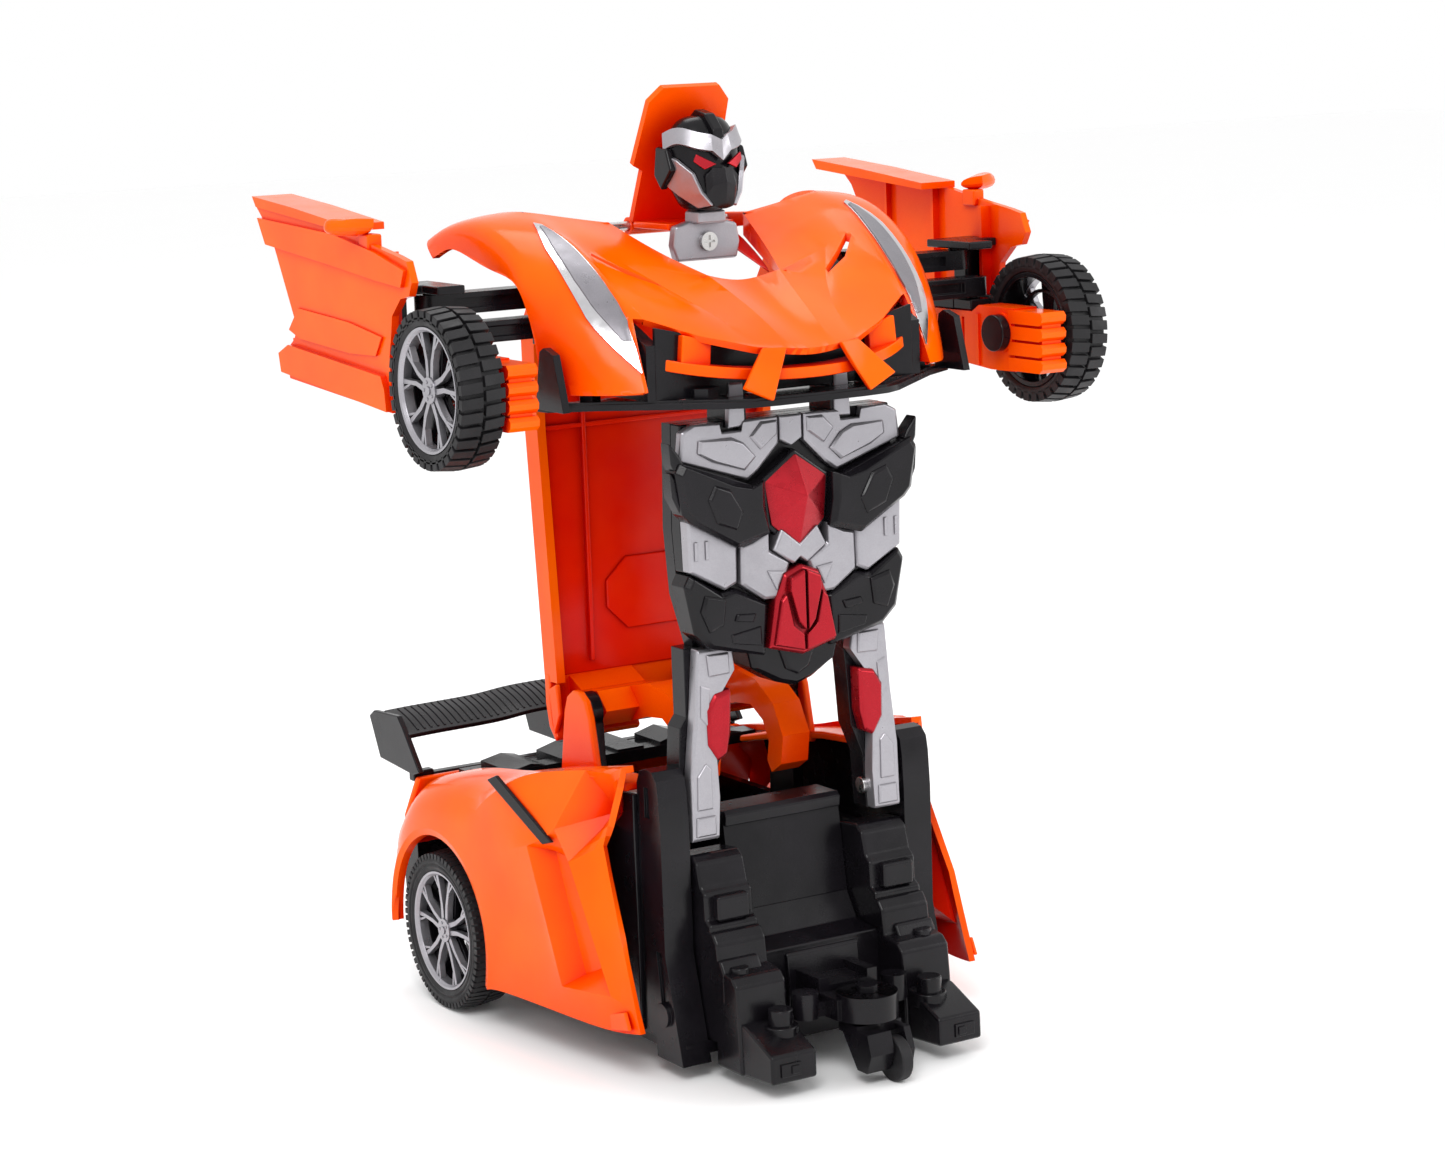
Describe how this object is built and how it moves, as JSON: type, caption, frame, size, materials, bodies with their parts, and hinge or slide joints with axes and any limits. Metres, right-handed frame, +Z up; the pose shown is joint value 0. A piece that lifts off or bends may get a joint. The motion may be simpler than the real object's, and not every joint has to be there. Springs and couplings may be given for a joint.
{
  "type": "transforming robot car",
  "caption": "Toy robot that folds into a sports car: hinged spine, torso and hood, swinging door arms, rolling wheels and a flip-up head.",
  "frame": {"origin": "on the floor, under the middle of the bounding box, in the standing robot pose", "axes": "+Z up, the robot and the car face -Y, +X sideways"},
  "size_m": [0.195, 0.1814, 0.2347],
  "materials": {
    "orange_plastic": "bright orange ABS, high gloss",
    "black_plastic": "black ABS, semi gloss",
    "silver_paint": "silver metallic paint with dark weathered shading",
    "red_paint": "dark red metallic paint",
    "rim_silver": "bright silver paint",
    "tyre_rubber": "soft black tyre, satin",
    "steel": "bright steel pin or screw",
    "chrome": "vacuum chrome",
    "eye_red": "red eye insert",
    "circuit": "green circuit board",
    "cell_wrap": "shrink wrapped cells",
    "gear_white": "white nylon"
  },
  "bodies": {
    "base": {"chassis": "black_plastic", "foot_blocks": "black_plastic", "side_plates": "black_plastic", "leg_pins": "steel", "hinge_ribs": "black_plastic", "rear_body_shell": "orange_plastic", "engine_cover": "black_plastic", "side_strips": "black_plastic", "rear_bumper": "black_plastic", "rear_wing": "black_plastic", "battery_pack": "cell_wrap", "battery_door": "black_plastic", "circuit_board": "circuit", "gearbox": "gear_white", "motors": "steel"},
    "rear_wheels": {"rear_axle": "steel", "drive_gear": "gear_white", "rear_rims": "rim_silver", "rear_tyres": "tyre_rubber"},
    "caster_swivel": {"caster_fork": "black_plastic"},
    "caster_roller": {"caster_wheel": "tyre_rubber"},
    "switch_knob": {"power_switch": "black_plastic"},
    "spine": {"roof_panel": "orange_plastic", "spine_pin": "steel"},
    "torso": {"legs": "black_plastic", "leg_covers": "silver_paint", "leg_inserts": "red_paint", "pelvis": "black_plastic", "torso_back": "black_plastic", "torso_front": "silver_paint", "waist_plates": "black_plastic", "chest_plates": "black_plastic", "chest_gem": "red_paint", "belly_plate": "red_paint"},
    "chest": {"chest_frame": "black_plastic", "hood_shell": "orange_plastic", "flap_pin": "steel", "headlights": "chrome", "splitter": "black_plastic", "lip_and_canards": "orange_plastic"},
    "head": {"windscreen_flap": "orange_plastic", "helmet": "silver_paint", "face_mask": "red_paint", "eyes": "eye_red", "neck_plate": "silver_paint", "neck_screw": "steel"},
    "upper_bar_left": {"arm_bar_upper_left": "black_plastic"},
    "lower_bar_left": {"arm_bar_lower_left": "black_plastic"},
    "door_left": {"door_panel_left": "orange_plastic", "wheel_bracket_left": "orange_plastic", "front_axle_left": "black_plastic"},
    "front_wheel_left": {"front_rim_left": "rim_silver", "front_tyre_left": "tyre_rubber"},
    "upper_bar_right": {"arm_bar_upper_right": "black_plastic"},
    "lower_bar_right": {"arm_bar_lower_right": "black_plastic"},
    "door_right": {"door_panel_right": "orange_plastic", "wheel_bracket_right": "orange_plastic", "front_axle_right": "black_plastic"},
    "front_wheel_right": {"front_rim_right": "rim_silver", "front_tyre_right": "tyre_rubber"}
  },
  "joints": [
    {"name": "rear_wheel_spin", "type": "hinge", "parent": "base", "child": "rear_wheels", "pos_m": [0, 0.0335, 0.0207], "axis": [1, 0, 0], "continuous": true},
    {"name": "caster_swivel_turn", "type": "hinge", "parent": "base", "child": "caster_swivel", "pos_m": [0, -0.078, 0.017], "axis": [0, 0, 1], "continuous": true},
    {"name": "caster_roller_spin", "type": "hinge", "parent": "caster_swivel", "child": "caster_roller", "pos_m": [0.0028, -0.0852, 0.0055], "axis": [1, 0, 0], "continuous": true},
    {"name": "power_switch_slide", "type": "slide", "parent": "base", "child": "switch_knob", "axis": [0, 1, 0], "range_m": [0, 0.004]},
    {"name": "spine_fold", "type": "hinge", "parent": "base", "child": "spine", "pos_m": [0, 0, 0.0805], "axis": [1, 0, 0], "range_deg": [0, 108.5]},
    {"name": "leg_fold", "type": "hinge", "parent": "base", "child": "torso", "pos_m": [0, -0.046, 0.062], "axis": [1, 0, 0], "range_deg": [0, 108.5]},
    {"name": "hood_level", "type": "hinge", "parent": "spine", "child": "chest", "pos_m": [0, 0, 0.1945], "axis": [1, 0, 0], "range_deg": [-108.5, 0]},
    {"name": "head_flip", "type": "hinge", "parent": "chest", "child": "head", "pos_m": [0, 0.005, 0.2], "axis": [-1, 0, 0], "range_deg": [-77, 0]},
    {"name": "left_arm_swing", "type": "hinge", "parent": "chest", "child": "upper_bar_left", "pos_m": [-0.0435, -0.015, 0.1867], "axis": [0, 0, -1], "range_deg": [0, 75]},
    {"name": "left_lower_bar_swing", "type": "hinge", "parent": "chest", "child": "lower_bar_left", "pos_m": [-0.0435, -0.023, 0.1803], "axis": [0, 0, -1], "range_deg": [0, 75]},
    {"name": "left_door_level", "type": "hinge", "parent": "upper_bar_left", "child": "door_left", "pos_m": [-0.0755, -0.015, 0.1867], "axis": [0, 0, -1], "range_deg": [-75, 0]},
    {"name": "front_wheel_spin_left", "type": "hinge", "parent": "door_left", "child": "front_wheel_left", "pos_m": [-0.0851, -0.0407, 0.1699], "axis": [1, 0, 0], "continuous": true},
    {"name": "right_arm_swing", "type": "hinge", "parent": "chest", "child": "upper_bar_right", "pos_m": [0.0435, -0.015, 0.1867], "axis": [0, 0, 1], "range_deg": [0, 75]},
    {"name": "right_lower_bar_swing", "type": "hinge", "parent": "chest", "child": "lower_bar_right", "pos_m": [0.0435, -0.023, 0.1803], "axis": [0, 0, 1], "range_deg": [0, 75]},
    {"name": "right_door_level", "type": "hinge", "parent": "upper_bar_right", "child": "door_right", "pos_m": [0.0755, -0.015, 0.1867], "axis": [0, 0, 1], "range_deg": [-75, 0]},
    {"name": "front_wheel_spin_right", "type": "hinge", "parent": "door_right", "child": "front_wheel_right", "pos_m": [0.0851, -0.0407, 0.1699], "axis": [1, 0, 0], "continuous": true}
  ],
  "couplings": [
    {"joint": "leg_fold", "follows": "spine_fold", "ratio": 1},
    {"joint": "hood_level", "follows": "spine_fold", "ratio": -1},
    {"joint": "left_lower_bar_swing", "follows": "left_arm_swing", "ratio": 1},
    {"joint": "left_door_level", "follows": "left_arm_swing", "ratio": -1},
    {"joint": "right_lower_bar_swing", "follows": "right_arm_swing", "ratio": 1},
    {"joint": "right_door_level", "follows": "right_arm_swing", "ratio": -1}
  ]
}
